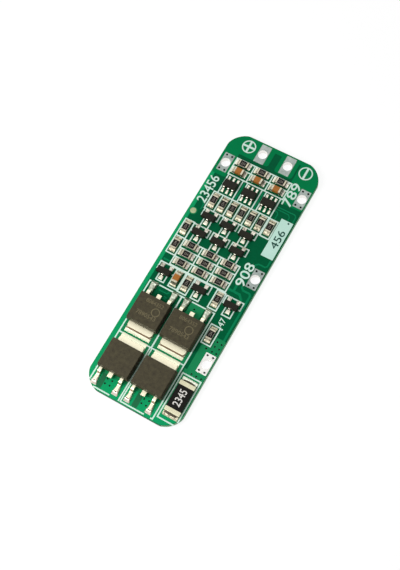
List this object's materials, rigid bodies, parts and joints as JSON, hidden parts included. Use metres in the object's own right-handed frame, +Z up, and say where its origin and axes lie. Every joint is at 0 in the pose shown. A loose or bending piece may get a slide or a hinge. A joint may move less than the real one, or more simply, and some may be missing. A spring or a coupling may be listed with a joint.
{
  "type": "battery management board",
  "caption": "Flat circuit board that protects and monitors a short string of lithium cells, with wire pads, a current shunt and power switches.",
  "frame": {"origin": "under the middle of the board, on its underside", "axes": "+X across the board towards the edge with the row of tap pads, +Y along it towards the output pads, +Z up out of the face that carries the components"},
  "size_m": [0.02, 0.059, 0.0035],
  "materials": {
    "board_laminate": "glass-fibre laminate under semi-gloss green solder mask",
    "tinned_land": "matt grey tin on copper",
    "resistor_ceramic": "black overglaze with bright tin ends",
    "capacitor_ceramic": "tan fired ceramic with bright tin ends",
    "moulded_epoxy": "satin black moulding",
    "tinned_copper": "bright tin over copper",
    "solder": "bright reflowed solder"
  },
  "bodies": {
    "root": {"bridge_resistor_1": "resistor_ceramic", "bridge_resistor_2": "resistor_ceramic", "bridge_resistor_3": "resistor_ceramic", "bridge_resistor_4": "resistor_ceramic", "bridge_resistor_5": "resistor_ceramic", "bridge_resistor_6": "resistor_ceramic", "bridge_resistor_7": "resistor_ceramic", "bridge_resistor_8": "resistor_ceramic", "bridge_resistor_9": "resistor_ceramic", "cell_monitor_1": "moulded_epoxy", "cell_monitor_2": "moulded_epoxy", "cell_monitor_3": "moulded_epoxy", "chip_solder": "solder", "circuit_board": "board_laminate", "current_shunt_caps": "tinned_copper", "current_shunt_core": "resistor_ceramic", "delay_capacitor": "capacitor_ceramic", "driver_resistor_1": "resistor_ceramic", "driver_resistor_2": "resistor_ceramic", "driver_transistor_1": "moulded_epoxy", "driver_transistor_2": "moulded_epoxy", "driver_transistor_3": "moulded_epoxy", "filter_capacitor_1": "capacitor_ceramic", "filter_capacitor_2": "capacitor_ceramic", "filter_capacitor_3": "capacitor_ceramic", "gate_resistor_1": "resistor_ceramic", "gate_resistor_2": "resistor_ceramic", "gate_resistor_3": "resistor_ceramic", "gate_resistor_4": "resistor_ceramic", "gate_resistor_5": "resistor_ceramic", "gate_resistor_6": "resistor_ceramic", "gate_resistor_7": "resistor_ceramic", "level_transistor_1": "moulded_epoxy", "level_transistor_2": "moulded_epoxy", "level_transistor_3": "moulded_epoxy", "level_transistor_4": "moulded_epoxy", "level_transistor_5": "moulded_epoxy", "level_transistor_6": "moulded_epoxy", "link_resistor_1": "resistor_ceramic", "link_resistor_2": "resistor_ceramic", "lower_tap_pad": "tinned_land", "output_negative_pad": "tinned_land", "output_positive_pad": "tinned_land", "pack_negative_pad": "tinned_land", "pack_positive_pad": "tinned_land", "package_solder": "solder", "power_solder": "solder", "power_switch_1_case": "moulded_epoxy", "power_switch_1_frame": "tinned_copper", "power_switch_2_case": "moulded_epoxy", "power_switch_2_frame": "tinned_copper", "power_switch_3_case": "moulded_epoxy", "power_switch_3_frame": "tinned_copper", "power_switch_4_case": "moulded_epoxy", "power_switch_4_frame": "tinned_copper", "reset_resistor": "resistor_ceramic", "tap_resistor_1": "resistor_ceramic", "tap_resistor_2": "resistor_ceramic", "tap_resistor_3": "resistor_ceramic", "upper_tap_pad": "tinned_land"}
  },
  "joints": []
}
